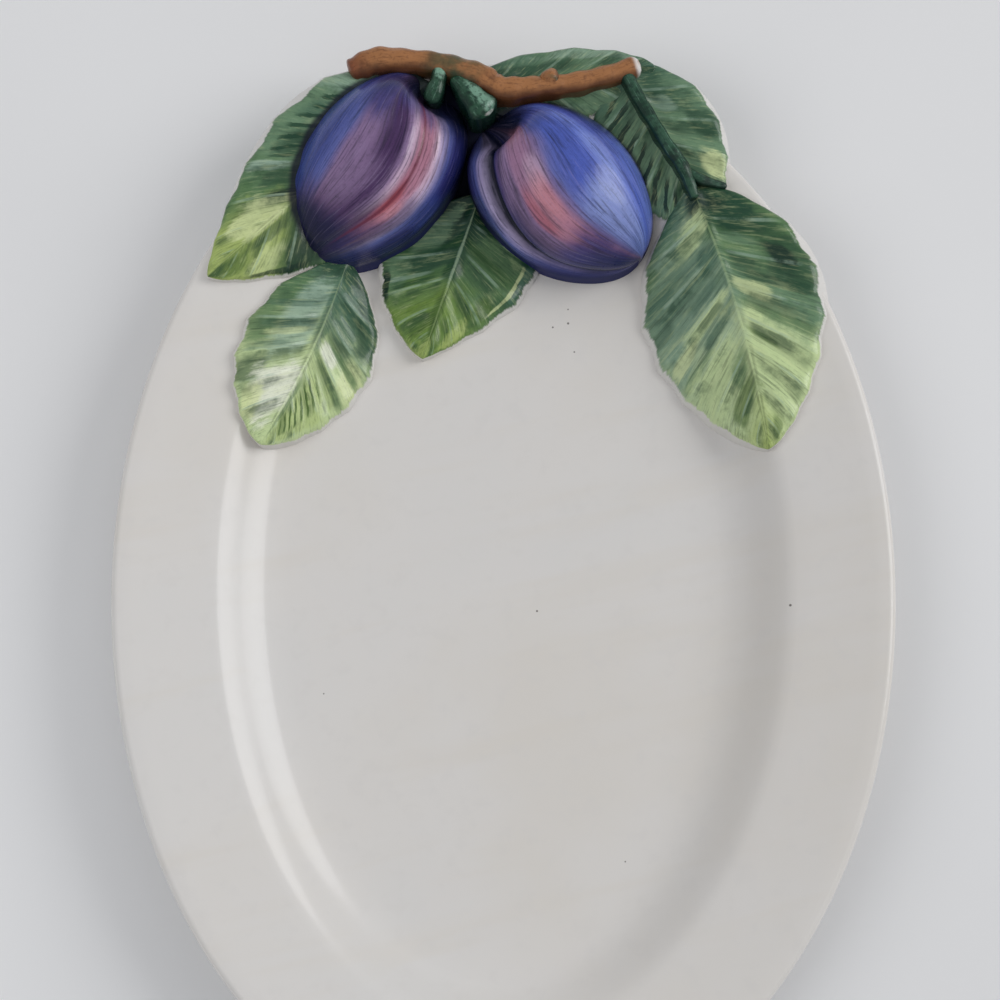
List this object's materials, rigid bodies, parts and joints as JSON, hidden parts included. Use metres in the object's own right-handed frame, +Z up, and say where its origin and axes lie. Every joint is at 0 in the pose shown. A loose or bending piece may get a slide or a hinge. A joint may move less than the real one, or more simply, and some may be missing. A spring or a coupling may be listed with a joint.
{
  "type": "pottery platter",
  "caption": "Oval glazed pottery platter with a wide sloping rim, a shallow well and a moulded, hand-painted spray of plums, leaves and a branch at one end.",
  "frame": {"origin": "middle of the platter's box in plan, on the plane that its foot stands on", "axes": "+Z up, out of the well; +Y along the length towards the moulded fruit; +X across the platter"},
  "size_m": [0.258, 0.362, 0.0455],
  "materials": {
    "glazed_pottery": "glossy cream-white glaze, the moulded fruit, leaves and branch hand-painted under it"
  },
  "bodies": {
    "root": {"platter": "glazed_pottery"}
  },
  "joints": []
}
